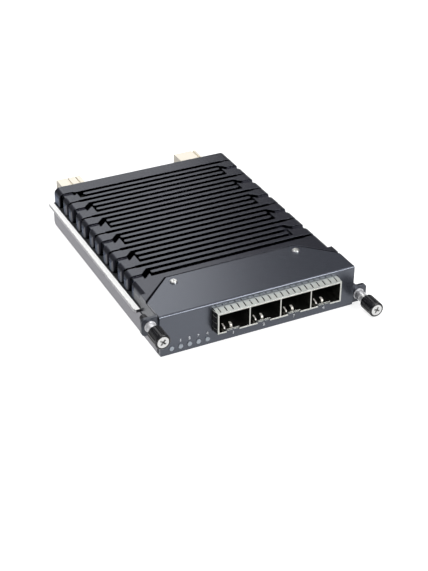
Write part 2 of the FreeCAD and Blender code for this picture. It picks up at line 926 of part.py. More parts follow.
def backplane_connectors():
    """Each connector's left edge, right edge, height above the board and rear end."""
    left = -half_board + left_connector_inset
    middle = middle_connector_offset - middle_connector_width / 2
    right = half_board - right_connector_inset
    return {
        "left": (left, left + left_connector_width, outer_connector_height,
                 body_depth + left_connector_reach),
        "middle": (middle, middle + middle_connector_width, middle_connector_height,
                   body_depth + middle_connector_reach),
        "right": (right - right_connector_width, right, outer_connector_height,
                  body_depth + right_connector_reach),
    }


def connector_slots(left, right):
    """The middles of the blade slots in a backplane connector."""
    count = int((right - left - connector_wall) / slot_pitch)
    first = (left + right) / 2 - (count - 1) * slot_pitch / 2
    return [first + index * slot_pitch for index in range(count)]


def make_backplane_connector(place, grooves):
    """Moulded connector that hangs over the board's rear edge, with blade slots in its rear face.
    grooves are key grooves in its roof: (distance from the right side, width)."""
    left, right, height, rear = backplane_connectors()[place]
    roof = board_top + height
    floor = board_top - connector_drop
    shelf = board_rear + seat_gap
    body = side_prism([
        (connector_front, board_top, 0), (shelf, board_top, 0), (shelf, floor, 0),
        (rear, floor, floor_corner), (rear, roof, roof_corner), (connector_front, roof, lip_corner),
    ], left, right)
    groove_front = body_depth + groove_depth
    tools = []
    for x in connector_slots(left, right):
        tools.append(box(x - slot_width / 2, x + slot_width / 2, rear - slot_depth, rear + 1,
                         floor + connector_wall, roof - connector_wall))
    for inset, width in grooves:
        tools.append(box(right - inset, right - inset + width, groove_front, rear + 1, roof - groove_depth,
                         roof + 1))
    side_groove = (board_top + groove_depth, board_top + 2 * groove_depth + seat_gap)
    tools.append(box(left - 1, left + groove_depth / 2, groove_front, rear + 1, *side_groove))
    tools.append(box(right - groove_depth / 2, right + 1, groove_front, rear + 1, *side_groove))
    return cut(body, *tools)


def make_backplane_contacts():
    """A blade in every slot, rooted in the slot's end."""
    blades = []
    half = blade_thickness / 2
    for left, right, height, rear in backplane_connectors().values():
        blade_bottom = board_top - connector_drop + connector_wall + seat_gap
        blade_top = board_top + height - connector_wall - seat_gap
        for x in connector_slots(left, right):
            blades.append(box(x - half, x + half, rear - slot_depth, rear - blade_setback, blade_bottom,
                              blade_top))
    return group(blades)


def screw_height(side):
    """The thumbscrew's axis: near the panel's top on the left, near its bottom on the right."""
    return top - screw_edge if side < 0 else screw_edge


def knob_face(side):
    """The front of a thumbscrew as the photo shows it, drawn out of the panel."""
    return -left_drawn if side < 0 else -right_drawn


def make_ferrule(side):
    """Sleeve pressed into the ear, with a round flange on the ear's face."""
    x, z = side * screw_x, screw_height(side)
    sleeve = rod(ferrule_radius, x, z, plate_front - ferrule_reach, plate_rear)
    flange = rod(ferrule_flange, x, z, plate_front - ferrule_flange_thickness, plate_front)
    bore = rod(shank_radius + running, x, z, plate_front - ferrule_reach - 1, plate_rear + 1)
    return cut(join([sleeve, flange]), bore)


def make_knob(side):
    """Moulded knob with ribs. Its rear is hollow, so that it can pass over the ferrule."""
    x, z, face = side * screw_x, screw_height(side), knob_face(side)
    body = rod(knob_radius, x, z, face, face + knob_length)
    body = body.makeChamfer(knob_chamfer, [edge for edge in body.Edges if len(edge.Vertexes) == 1])
    hollow_depth = ferrule_reach + 2 * seat_gap
    tools = [
        rod(shank_radius, x, z, face - 1, face + knob_length + 1),
        rod(disc_radius, x, z, face - 1, face + disc_thickness),
        rod(ferrule_radius + slip, x, z, face + knob_length - hollow_depth, face + knob_length + 1),
    ]
    root = knob_radius - knob_groove
    outside = knob_radius + seat_gap
    spread = knob_groove_share * math.pi / knob_ribs
    for index in range(knob_ribs):
        angle = 2 * math.pi * index / knob_ribs
        corners = []
        for radius, turn in ((root, 0), (outside, spread), (outside, -spread)):
            corners.append((x + radius * math.cos(angle + turn), z + radius * math.sin(angle + turn), 0))
        tools.append(front_prism(corners, face + knob_brim, face + knob_length + 1))
    return cut(body, *tools)


def make_captive_screw(side):
    """Screw with a flat disc head in the knob's face, a plain shank, a ring groove and a threaded end."""
    x, z, face = side * screw_x, screw_height(side), knob_face(side)
    ring_start = face + ring_back - seat_gap
    ring_end = face + ring_back + ring_thickness + seat_gap
    tip = face + screw_length
    chamfer = thread_chamfer
    screw = join([
        rod(disc_radius, x, z, face, face + disc_thickness),
        rod(shank_radius, x, z, face + disc_thickness, ring_start),
        rod(ring_groove_radius, x, z, ring_start, ring_end),
        rod(thread_radius, x, z, ring_end, tip - chamfer),
        Part.makeCone(thread_radius, thread_radius - chamfer, chamfer, Vector(x, tip - chamfer, z),
                      Vector(0, 1, 0)),
    ])
    turn = left_recess_turn if side < 0 else right_recess_turn
    return cut(screw, cross_recess(x, z, face, turn))


def make_retaining_ring(side):
    """Open clip in the screw's groove, behind the ear."""
    x, z, face = side * screw_x, screw_height(side), knob_face(side)
    start = face + ring_back
    ring = rod(ring_radius, x, z, start, start + ring_thickness)
    bore = rod(ring_groove_radius + running, x, z, start - 1, start + ring_thickness + 1)
    half_mouth = ring_mouth / 2
    mouth = box(x - half_mouth, x + half_mouth, start - 1, start + ring_thickness + 1,
                z - ring_radius - 1, z)
    return cut(ring, bore, mouth)


def make_parts():
    pillar_places = tray_screw_places()[:4]
    foot_places = tray_screw_places()[4:]
    parts = {
        "heatsink": make_heatsink(),
        "base_tray": make_tray(),
        "front_panel": make_front_panel(),
        "mounting_plate": make_mounting_plate(),
        "flange_screws": make_flange_screws(),
        "front_screws": make_tray_screws(foot_places, foot_screw_bite),
        "cover_screws": make_tray_screws(pillar_places, cover_screw_bite),
        "port_cage": make_port_cage(),
        "cage_floor": make_cage_floor(),
        "spring_collar": make_spring_collar(),
        "circuit_board": make_circuit_board(),
        "board_standoffs": make_standoffs(),
        "board_screws": make_board_screws(),
        "switch_chip": make_chip(),
        "thermal_pad": make_thermal_pad(),
        "phy_chips": make_square_parts(phy_places, phy_size, phy_height),
        "power_modules": make_square_parts(inductor_places, inductor_size, inductor_height),
        "capacitors": make_capacitors(),
        "light_pipes": make_light_pipes(),
        "left_backplane_connector": make_backplane_connector("left", left_key_grooves),
        "middle_backplane_connector": make_backplane_connector("middle", ()),
        "right_backplane_connector": make_backplane_connector("right", right_key_grooves),
        "backplane_contacts": make_backplane_contacts(),
    }
    for index in range(1, port_count):
        parts["cage_divider_%d" % index] = make_divider(index)
    for port in range(port_count):
        parts["port_connector_%d" % (port + 1)] = make_port_connector(port)
    for side, word in ((-1, "left"), (1, "right")):
        parts[word + "_guide_rail"] = make_rail(side)
        parts[word + "_ferrule"] = make_ferrule(side)
        parts[word + "_knob"] = make_knob(side)
        parts[word + "_captive_screw"] = make_captive_screw(side)
        parts[word + "_retaining_ring"] = make_retaining_ring(side)
    return parts


def main():
    os.makedirs("parts", exist_ok=True)
    for name, shape in make_parts().items():
        shape.exportStep(os.path.join("parts", name + ".step"))
        bounds = shape.BoundBox
        print("%-28s solids %2d valid %s  x %.2f..%.2f  y %.2f..%.2f  z %.2f..%.2f" % (
            name, len(shape.Solids), shape.isValid(), bounds.XMin, bounds.XMax, bounds.YMin, bounds.YMax,
            bounds.ZMin, bounds.ZMax))


main()
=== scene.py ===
# %% [markdown]
# # A switch line card
# The card is a flat module that slides into a network chassis. Its hard pieces come from the CAD model, which
# stays where it is. This lesson gives each piece its finish, and adds what is too fine for the CAD model:
# screw threads, socket contacts, ejector springs and printed numbers.

# %% Load the card
import math

import bmesh
import bpy
from mathutils import Matrix, Vector


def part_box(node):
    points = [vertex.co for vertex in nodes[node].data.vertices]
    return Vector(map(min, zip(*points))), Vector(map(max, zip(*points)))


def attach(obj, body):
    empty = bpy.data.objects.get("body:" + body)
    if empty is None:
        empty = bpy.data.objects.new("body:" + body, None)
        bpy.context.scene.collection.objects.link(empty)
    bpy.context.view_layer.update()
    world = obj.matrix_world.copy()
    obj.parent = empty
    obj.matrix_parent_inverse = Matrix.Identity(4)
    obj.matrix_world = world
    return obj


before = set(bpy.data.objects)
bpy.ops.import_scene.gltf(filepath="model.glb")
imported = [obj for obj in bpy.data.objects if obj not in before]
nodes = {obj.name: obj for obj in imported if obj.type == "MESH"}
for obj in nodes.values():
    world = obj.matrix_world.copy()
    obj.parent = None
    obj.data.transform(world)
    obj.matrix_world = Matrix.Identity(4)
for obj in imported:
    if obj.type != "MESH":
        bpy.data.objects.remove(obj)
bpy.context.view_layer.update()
mm = 0.001
print("pieces:", len(nodes))

# %% [markdown]
# ## The camera
# The photo was taken with a long lens from the front left, about 32 degrees above the table. A few known
# sizes of the card fixed the camera's angle, distance and lens. The lens is given on the frame's height, so
# the picture keeps its framing whatever its width.

# %% Place the camera
azimuth, elevation, roll = (math.radians(angle) for angle in (-26.53, 32.08, 0.39))
distance = 531.2 * mm
aside, above = -18.8 * mm, 18.4 * mm
sensor_height = 36.0
focal_length = 80.72

back = Vector((
    math.sin(azimuth) * math.cos(elevation),
    -math.cos(azimuth) * math.cos(elevation),
    math.sin(elevation),
))
level_right = Vector((0, 0, 1)).cross(back).normalized()
level_up = back.cross(level_right)
right = math.cos(roll) * level_right + math.sin(roll) * level_up
up = math.cos(roll) * level_up - math.sin(roll) * level_right
place = back * distance + right * aside + up * above

camera_data = bpy.data.cameras.new("camera")
camera_data.sensor_fit = "VERTICAL"
camera_data.sensor_height = sensor_height
camera_data.lens = focal_length
camera_data.clip_start = 10 * mm
camera = bpy.data.objects.new("camera", camera_data)
camera.matrix_world = Matrix((
    (right.x, up.x, back.x, place.x),
    (right.y, up.y, back.y, place.y),
    (right.z, up.z, back.z, place.z),
    (0, 0, 0, 1),
))
bpy.context.collection.objects.link(camera)
bpy.context.scene.camera = camera
bpy.context.scene.view_settings.view_transform = "Standard"
print("camera at", [round(value / mm, 1) for value in place])

# %% [markdown]
# ## Floor, world and lamps
# The card lies on white paper in a light tent. The paper and the world look bright to the camera and in
# reflections, yet light the card at a plain level. Light Path tells those rays apart. The tent's walls are
# bright near the floor and fade upwards, and its roof is bright again, so that paint and metal reflect a
# gradient, as they do in a real studio. A wide soft lamp hangs behind the card for the flat top, and a
# smaller one stands at the front right for the edges. A third hangs high on the left, over the guide rail.

# %% Lay the floor
def grey(shade):
    return (shade, shade, shade, 1)


def add_math(tree, operation):
    node = tree.nodes.new("ShaderNodeMath")
    node.operation = operation
    return node


def seen_rays(tree):
    """One where a ray comes from the camera, a reflection or glass, and zero where it only carries light."""
    path = tree.nodes.new("ShaderNodeLightPath")
    seen = path.outputs["Is Camera Ray"]
    for kind in ("Is Glossy Ray", "Is Transmission Ray"):
        either = add_math(tree, "MAXIMUM")
        tree.links.new(seen, either.inputs[0])
        tree.links.new(path.outputs[kind], either.inputs[1])
        seen = either.outputs[0]
    return seen


paper_colour = 0.38
paper_roughness = 0.9
paper_glow = 0.82
floor_material = bpy.data.materials.new("white_paper")
floor_material.use_nodes = True
tree = floor_material.node_tree
paper = tree.nodes["Principled BSDF"]
paper.inputs["Base Color"].default_value = grey(paper_colour)
paper.inputs["Roughness"].default_value = paper_roughness
paper.inputs["Specular IOR Level"].default_value = 0.0
paper.inputs["Emission Color"].default_value = grey(1)
glow = add_math(tree, "MULTIPLY")
glow.inputs[1].default_value = paper_glow
tree.links.new(seen_rays(tree), glow.inputs[0])
tree.links.new(glow.outputs[0], paper.inputs["Emission Strength"])

floor_mesh = bpy.data.meshes.new("floor")
half_floor = 2000 * mm
floor_drop = -0.05 * mm
floor_mesh.from_pydata([
    (-half_floor, -half_floor, floor_drop), (half_floor, -half_floor, floor_drop),
    (half_floor, half_floor, floor_drop), (-half_floor, half_floor, floor_drop),
], [], [(0, 1, 2, 3)])
floor_mesh.materials.append(floor_material)
floor = bpy.data.objects.new("floor", floor_mesh)
bpy.context.collection.objects.link(floor)
print("floor:", floor.name, "with", floor_material.name)

# %% Light the world
def add_mix(tree):
    node = tree.nodes.new("ShaderNodeMix")
    node.data_type = "RGBA"
    return node


world = bpy.data.worlds.new("studio")
bpy.context.scene.world = world
world.use_nodes = True
tree = world.node_tree
background = tree.nodes["Background"]
world_light = 0.20
tent_stops = ((0.0, 1.0), (0.12, 0.30), (0.30, 0.12), (0.62, 0.07), (1.0, 1.0))
direction = tree.nodes.new("ShaderNodeTexCoord")
parts_of_direction = tree.nodes.new("ShaderNodeSeparateXYZ")
tent = tree.nodes.new("ShaderNodeValToRGB")
first_stop, last_stop = tent.color_ramp.elements
first_stop.color = grey(tent_stops[0][1])
last_stop.color = grey(tent_stops[-1][1])
for height, shade in tent_stops[1:-1]:
    tent.color_ramp.elements.new(height).color = grey(shade)
brightness = add_mix(tree)
brightness.inputs["A"].default_value = grey(world_light)
tree.links.new(direction.outputs["Generated"], parts_of_direction.inputs[0])
tree.links.new(parts_of_direction.outputs["Z"], tent.inputs["Fac"])
tree.links.new(seen_rays(tree), brightness.inputs["Factor"])
tree.links.new(tent.outputs["Color"], brightness.inputs["B"])
tree.links.new(brightness.outputs["Result"], background.inputs["Color"])

# %% Hang the lamps
card_middle = Vector((0, 0.06, 0.01))


def hang_lamp(name, position, size, watts):
    """A square soft lamp that points at the card's middle."""
    lamp_data = bpy.data.lights.new(name, "AREA")
    lamp_data.shape = "SQUARE"
    lamp_data.size = size
    lamp_data.energy = watts
    lamp = bpy.data.objects.new(name, lamp_data)
    lamp.location = position
    aim = card_middle - Vector(position)
    lamp.rotation_euler = aim.to_track_quat("-Z", "Y").to_euler()
    bpy.context.collection.objects.link(lamp)


hang_lamp("rear_softbox", (0.16, 0.86, 0.65), size=0.5, watts=1.35)
hang_lamp("front_key", (0.34, -0.60, 0.52), size=0.4, watts=5.2)
hang_lamp("left_overhead", (-0.24, 0.20, 0.80), size=0.4, watts=6.2)
print("lamps:", [lamp.name for lamp in bpy.data.lights])

# %% [markdown]
# ## Shared surface effects
# Five node groups serve the finishes. The first gives moulded, cast and painted surfaces their fine grain
# and a slow change of tint. The second gives sheet and drawn metal fine lines along one direction. The third
# finds edges with a Bevel node, which rounds the look of the CAD model's sharp edges and paints a highlight
# along them. The fourth marks what lies beyond a border in one direction, the same on the left and the right,
# which is where painted shade and painted shadows go. The fifth tells tops, flanks and front ends apart by
# the piece's own normal. It paints a casting's flanks and front ends darker, as painted shade, and takes away
# the reflection of the upright sides, and it paints a highlight on their leading corners, so only the tops
# keep a sheen.

# %% Make the grain group
def new_group(name, inputs, outputs):
    """An empty node group with named sockets: (name, socket type, first value)."""
    group = bpy.data.node_groups.new(name, "ShaderNodeTree")
    for label, kind, value in inputs:
        socket = group.interface.new_socket(name=label, in_out="INPUT", socket_type=kind)
        socket.default_value = value
    for label, kind in outputs:
        group.interface.new_socket(name=label, in_out="OUTPUT", socket_type=kind)
    return group, group.nodes.new("NodeGroupInput"), group.nodes.new("NodeGroupOutput")


COLOUR = "NodeSocketColor"
NUMBER = "NodeSocketFloat"
VECTOR = "NodeSocketVector"

grain_group, grain_in, grain_out = new_group(
    "surface_grain",
    [("Tint", COLOUR, (0.1, 0.1, 0.1, 1)), ("Second tint", COLOUR, (0.12, 0.12, 0.12, 1)),
     ("Patch scale", NUMBER, 40.0), ("Grain scale", NUMBER, 2500.0)],
    [("Colour", COLOUR), ("Height", NUMBER)],
)
coordinates = grain_group.nodes.new("ShaderNodeTexCoord")
patches = grain_group.nodes.new("ShaderNodeTexNoise")
patches.inputs["Detail"].default_value = 4.0
grain = grain_group.nodes.new("ShaderNodeTexNoise")
grain.inputs["Detail"].default_value = 3.0
grain.inputs["Roughness"].default_value = 0.6
tints = add_mix(grain_group)
links = grain_group.links
links.new(coordinates.outputs["Object"], patches.inputs["Vector"])
links.new(coordinates.outputs["Object"], grain.inputs["Vector"])
links.new(grain_in.outputs["Patch scale"], patches.inputs["Scale"])
links.new(grain_in.outputs["Grain scale"], grain.inputs["Scale"])
links.new(patches.outputs["Fac"], tints.inputs["Factor"])
links.new(grain_in.outputs["Tint"], tints.inputs["A"])
links.new(grain_in.outputs["Second tint"], tints.inputs["B"])
links.new(tints.outputs["Result"], grain_out.inputs["Colour"])
links.new(grain.outputs["Fac"], grain_out.inputs["Height"])

# %% Make the drawn lines group
line_group, line_in, line_out = new_group(
    "drawn_lines",
    [("Tint", COLOUR, (0.6, 0.6, 0.6, 1)), ("Second tint", COLOUR, (0.7, 0.7, 0.7, 1)),
     ("Stretch", VECTOR, (2500.0, 60.0, 2500.0))],
    [("Colour", COLOUR), ("Height", NUMBER)],
)
coordinates = line_group.nodes.new("ShaderNodeTexCoord")
stretch = line_group.nodes.new("ShaderNodeVectorMath")
stretch.operation = "MULTIPLY"
lines = line_group.nodes.new("ShaderNodeTexNoise")
lines.inputs["Scale"].default_value = 1.0
lines.inputs["Detail"].default_value = 3.0
tints = add_mix(line_group)
links = line_group.links
links.new(coordinates.outputs["Object"], stretch.inputs[0])
links.new(line_in.outputs["Stretch"], stretch.inputs[1])
links.new(stretch.outputs[0], lines.inputs["Vector"])
links.new(lines.outputs["Fac"], tints.inputs["Factor"])
links.new(line_in.outputs["Tint"], tints.inputs["A"])
links.new(line_in.outputs["Second tint"], tints.inputs["B"])
links.new(tints.outputs["Result"], line_out.inputs["Colour"])
links.new(lines.outputs["Fac"], line_out.inputs["Height"])

# %% Make the edge group
def add_range(tree, start, full):
    """A Map Range node that gives zero at the first value and one at the second."""
    node = tree.nodes.new("ShaderNodeMapRange")
    node.inputs["From Min"].default_value = start
    node.inputs["From Max"].default_value = full
    return node


def add_dot(tree):
    node = tree.nodes.new("ShaderNodeVectorMath")
    node.operation = "DOT_PRODUCT"
    return node


bevel_samples = 6
edge_likeness = (0.995, 0.85)
# The edge colour is a highlight painted along edges; the Bevel normal rounds them.
edge_group, edge_in, edge_out = new_group(
    "bevel_and_edge_highlight",
    [("Colour", COLOUR, (0.1, 0.1, 0.1, 1)), ("Highlight colour", COLOUR, (0.3, 0.3, 0.3, 1)),
     ("Width", NUMBER, 0.0002), ("Strength", NUMBER, 1.0)],
    [("Colour", COLOUR), ("Normal", VECTOR)],
)
rounded = edge_group.nodes.new("ShaderNodeBevel")
rounded.samples = bevel_samples
geometry = edge_group.nodes.new("ShaderNodeNewGeometry")
likeness = add_dot(edge_group)
turned = add_range(edge_group, *edge_likeness)
amount = add_math(edge_group, "MULTIPLY")
tints = add_mix(edge_group)
links = edge_group.links
links.new(edge_in.outputs["Width"], rounded.inputs["Radius"])
links.new(rounded.outputs["Normal"], likeness.inputs[0])
links.new(geometry.outputs["Normal"], likeness.inputs[1])
links.new(likeness.outputs["Value"], turned.inputs["Value"])
links.new(turned.outputs["Result"], amount.inputs[0])
links.new(edge_in.outputs["Strength"], amount.inputs[1])
links.new(amount.outputs[0], tints.inputs["Factor"])
links.new(edge_in.outputs["Colour"], tints.inputs["A"])
links.new(edge_in.outputs["Highlight colour"], tints.inputs["B"])
links.new(tints.outputs["Result"], edge_out.inputs["Colour"])
links.new(rounded.outputs["Normal"], edge_out.inputs["Normal"])

# %% Make the beyond group
border_softness = 0.1 * mm
# This mask places painted shade and painted shadows.
beyond_group, beyond_in, beyond_out = new_group(
    "shade_beyond", [("Direction", VECTOR, (0, 1, 0)), ("Border", NUMBER, 0.0)], [("Mask", NUMBER)])
coordinates = beyond_group.nodes.new("ShaderNodeTexCoord")
parts_of_place = beyond_group.nodes.new("ShaderNodeSeparateXYZ")
aside_from_middle = add_math(beyond_group, "ABSOLUTE")
folded = beyond_group.nodes.new("ShaderNodeCombineXYZ")
reach = add_dot(beyond_group)
past_border = add_math(beyond_group, "SUBTRACT")
mask = add_range(beyond_group, 0.0, border_softness)
links = beyond_group.links
links.new(coordinates.outputs["Object"], parts_of_place.inputs[0])
links.new(parts_of_place.outputs["X"], aside_from_middle.inputs[0])
links.new(aside_from_middle.outputs[0], folded.inputs["X"])
links.new(parts_of_place.outputs["Y"], folded.inputs["Y"])
links.new(folded.outputs[0], reach.inputs[0])
links.new(beyond_in.outputs["Direction"], reach.inputs[1])
links.new(reach.outputs["Value"], past_border.inputs[0])
links.new(beyond_in.outputs["Border"], past_border.inputs[1])
links.new(past_border.outputs[0], mask.inputs["Value"])
links.new(mask.outputs["Result"], beyond_out.inputs["Mask"])

# %% Make the facing group
# Flank and end colours are painted shade, the corner colour is a painted highlight, and the shaded sides lose
# their reflection through Metallic.
facing_group, facing_in, facing_out = new_group(
    "side_shade_and_corner_highlight",
    [("Colour", COLOUR, (0.1, 0.1, 0.1, 1)), ("Flank colour", COLOUR, (0.1, 0.1, 0.1, 1)),
     ("End colour", COLOUR, (0.1, 0.1, 0.1, 1)), ("Corner highlight colour", COLOUR, (0.1, 0.1, 0.1, 1)),
     ("Corner amount", NUMBER, 0.0), ("Amount", NUMBER, 1.0)],
    [("Colour", COLOUR), ("Shaded sides", NUMBER)],
)
flank_turn = (0.60, 0.90)
upright_turn = (0.85, 0.25)
front_turn = (-0.75, -0.95)
corner_turn = (0.93, 0.985)
corner_direction = (0.90, -0.43, 0.0)
coordinates = facing_group.nodes.new("ShaderNodeTexCoord")
parts_of_normal = facing_group.nodes.new("ShaderNodeSeparateXYZ")
sideways = add_math(facing_group, "ABSOLUTE")
flank = add_range(facing_group, *flank_turn)
upright = add_range(facing_group, *upright_turn)
end = add_range(facing_group, *front_turn)
folded = facing_group.nodes.new("ShaderNodeCombineXYZ")
corner_likeness = add_dot(facing_group)
corner_likeness.inputs[1].default_value = corner_direction
corner = add_range(facing_group, *corner_turn)
flank_amount = add_math(facing_group, "MULTIPLY")
upright_amount = add_math(facing_group, "MULTIPLY")
corner_share = add_math(facing_group, "MULTIPLY")
corner_amount = add_math(facing_group, "MULTIPLY")
flank_tints = add_mix(facing_group)
end_tints = add_mix(facing_group)
corner_tints = add_mix(facing_group)
links = facing_group.links
links.new(coordinates.outputs["Normal"], parts_of_normal.inputs[0])
links.new(parts_of_normal.outputs["X"], sideways.inputs[0])
links.new(sideways.outputs[0], flank.inputs["Value"])
links.new(parts_of_normal.outputs["Z"], upright.inputs["Value"])
links.new(parts_of_normal.outputs["Y"], end.inputs["Value"])
links.new(sideways.outputs[0], folded.inputs["X"])
links.new(parts_of_normal.outputs["Y"], folded.inputs["Y"])
links.new(folded.outputs[0], corner_likeness.inputs[0])
links.new(corner_likeness.outputs["Value"], corner.inputs["Value"])
links.new(flank.outputs["Result"], flank_amount.inputs[0])
links.new(facing_in.outputs["Amount"], flank_amount.inputs[1])
links.new(upright.outputs["Result"], upright_amount.inputs[0])
links.new(facing_in.outputs["Amount"], upright_amount.inputs[1])
links.new(corner.outputs["Result"], corner_share.inputs[0])
links.new(upright_amount.outputs[0], corner_share.inputs[1])
links.new(corner_share.outputs[0], corner_amount.inputs[0])
links.new(facing_in.outputs["Corner amount"], corner_amount.inputs[1])
links.new(flank_amount.outputs[0], flank_tints.inputs["Factor"])
links.new(facing_in.outputs["Colour"], flank_tints.inputs["A"])
links.new(facing_in.outputs["Flank colour"], flank_tints.inputs["B"])
links.new(end.outputs["Result"], end_tints.inputs["Factor"])
links.new(flank_tints.outputs["Result"], end_tints.inputs["A"])
links.new(facing_in.outputs["End colour"], end_tints.inputs["B"])
links.new(corner_amount.outputs[0], corner_tints.inputs["Factor"])
links.new(end_tints.outputs["Result"], corner_tints.inputs["A"])
links.new(facing_in.outputs["Corner highlight colour"], corner_tints.inputs["B"])
links.new(corner_tints.outputs["Result"], facing_out.inputs["Colour"])
# The shaded sides feed Metallic, so their reflection is taken away as painted shade.
links.new(upright_amount.outputs[0], facing_out.inputs["Shaded sides"])
print("node groups:", [group.name for group in bpy.data.node_groups])

# %% [markdown]
# ## The finishes
# Every finish follows one recipe. A grain or line group gives the colour and a height, the edge group adds
# a painted highlight along edges, and a Bump node turns the height into a fine relief. The material's own
# sliders then say whether it is metal, how rough it is and how shiny its skin is. The skin's shine can't
# change over a surface, because an exported model would lose that. So the painted shade on a side is made
# with
# Metallic: a dark metal spreads no light and mirrors only its own tint.

# %% Define the recipe
def place_group(tree, group, values):
    node = tree.nodes.new("ShaderNodeGroup")
    node.node_tree = group
    for label, value in values.items():
        node.inputs[label].default_value = value
    return node


backwards = (0, 1, 0)
inwards = (-1, 0, 0)
coat_roughness = 0.25


def new_finish(name, pattern, pattern_values, edge, roughness, metallic=0.0, relief=0.02, specular=0.5,
               sheen_tint=(1, 1, 1), coat=0.0, index=1.5, painted_sides=None, shade_beyond=None):
    """A material from one pattern group, the edge group and a bump.

    edge gives the edges' painted highlight (tint, width in mm, strength). roughness runs between two values.
    relief is in mm. The sides' argument gives the upright sides' painted shade (tint, front end's tint,
    corners' painted highlight tint, border in mm that the sides lie behind), and the shaded sides also lose
    their reflection where there is a corners' tint. The last argument gives what lies beyond a border a
    painted shade (tint, direction, border in mm).
    """
    material = bpy.data.materials.new(name)
    material.use_nodes = True
    tree = material.node_tree
    shader = tree.nodes["Principled BSDF"]
    surface = place_group(tree, pattern, pattern_values)
    edge_highlight_tint, edge_width, edge_strength = edge
    edges = place_group(tree, edge_group, {
        "Highlight colour": edge_highlight_tint, "Width": edge_width * mm, "Strength": edge_strength,
    })
    bump = tree.nodes.new("ShaderNodeBump")
    bump.inputs["Strength"].default_value = 1.0
    bump.inputs["Distance"].default_value = relief * mm
    spread = tree.nodes.new("ShaderNodeMapRange")
    spread.inputs["To Min"].default_value = roughness[0]
    spread.inputs["To Max"].default_value = roughness[1]
    plain_colour = surface.outputs["Colour"]
    if painted_sides:
        flank_tint, end_tint, corner_highlight_tint, border = painted_sides
        side_shade_and_corner_highlight = place_group(tree, facing_group, {
            "Flank colour": (*flank_tint, 1), "End colour": (*end_tint, 1),
            "Corner highlight colour": (*(corner_highlight_tint or flank_tint), 1),
            "Corner amount": 1.0 if corner_highlight_tint else 0.0,
        })
        behind = place_group(tree, beyond_group, {"Direction": backwards, "Border": border * mm})
        tree.links.new(behind.outputs["Mask"], side_shade_and_corner_highlight.inputs["Amount"])
        tree.links.new(plain_colour, side_shade_and_corner_highlight.inputs["Colour"])
        if corner_highlight_tint:
            tree.links.new(side_shade_and_corner_highlight.outputs["Shaded sides"], shader.inputs["Metallic"])
        plain_colour = side_shade_and_corner_highlight.outputs["Colour"]
    if shade_beyond:
        far_tint, direction, border = shade_beyond
        far_side = place_group(tree, beyond_group, {"Direction": direction, "Border": border * mm})
        far_mix = add_mix(tree)
        far_mix.inputs["B"].default_value = (*far_tint, 1)
        tree.links.new(far_side.outputs["Mask"], far_mix.inputs["Factor"])
        tree.links.new(plain_colour, far_mix.inputs["A"])
        plain_colour = far_mix.outputs["Result"]
    tree.links.new(plain_colour, edges.inputs["Colour"])
    tree.links.new(edges.outputs["Colour"], shader.inputs["Base Color"])
    tree.links.new(surface.outputs["Height"], spread.inputs["Value"])
    tree.links.new(spread.outputs["Result"], shader.inputs["Roughness"])
    tree.links.new(surface.outputs["Height"], bump.inputs["Height"])
    tree.links.new(edges.outputs["Normal"], bump.inputs["Normal"])
    tree.links.new(bump.outputs["Normal"], shader.inputs["Normal"])
    shader.inputs["Metallic"].default_value = metallic
    shader.inputs["Specular IOR Level"].default_value = specular
    shader.inputs["Specular Tint"].default_value = (*sheen_tint, 1)
    shader.inputs["IOR"].default_value = index
    shader.inputs["Coat Weight"].default_value = coat
    shader.inputs["Coat Roughness"].default_value = coat_roughness
    return material


def grain_values(tint, second, patch=40.0, fine=2500.0):
    return {"Tint": (*tint, 1), "Second tint": (*second, 1), "Patch scale": patch, "Grain scale": fine}


def line_values(tint, second, stretch):
    return {"Tint": (*tint, 1), "Second tint": (*second, 1), "Stretch": stretch}


def dress(names, material):
    """Give pieces of the card their finish."""
    for name in names:
        for slot in nodes[name].material_slots:
            slot.material = material


# %% [markdown]
# ### Paint
# The finned cover is a casting with thin black paint, so it keeps a fine grain, and its fin edges get a
# painted highlight. Its upright sides and front ends are painted darker than its tops, as painted shade, and
# their leading corners get a painted highlight. The folded front panel has a smoother grey-blue coat, and the
# plate behind it a black one.

# %% Paint the sheet and the casting
cool_shine = (0.80, 0.86, 1.0)
# The casting's painted side shade starts this far back, so the nose keeps its own colour.
nose_length = 27.0
# The cover's sides and front ends get painted shade, and their corners a painted highlight.
cast_paint = new_finish(
    "black_cast_paint", grain_group,
    grain_values((0.0105, 0.0105, 0.0150), (0.0150, 0.0150, 0.0205), fine=3200.0),
    edge=((0.060, 0.062, 0.074, 1), 0.20, 0.8), roughness=(0.20, 0.30), relief=0.006, specular=0.7,
    sheen_tint=cool_shine,
    painted_sides=((0.008, 0.008, 0.011), (0.009, 0.009, 0.012), (0.10, 0.10, 0.108), nose_length))
panel_paint = new_finish(
    "grey_panel_paint", grain_group,
    grain_values((0.019, 0.021, 0.028), (0.025, 0.027, 0.035), fine=4000.0),
    edge=((0.15, 0.16, 0.19, 1), 0.12, 0.6), roughness=(0.22, 0.30),
    relief=0.003, specular=0.92, sheen_tint=cool_shine, index=1.6)
plate_paint = new_finish(
    "black_plate_paint", grain_group,
    grain_values((0.014, 0.015, 0.019), (0.020, 0.021, 0.026), fine=4000.0),
    edge=((0.16, 0.17, 0.20, 1), 0.18, 0.8), roughness=(0.26, 0.36),
    relief=0.004, specular=0.8, sheen_tint=cool_shine)
dress(["heatsink"], cast_paint)
dress(["front_panel"], panel_paint)
dress(["mounting_plate"], plate_paint)
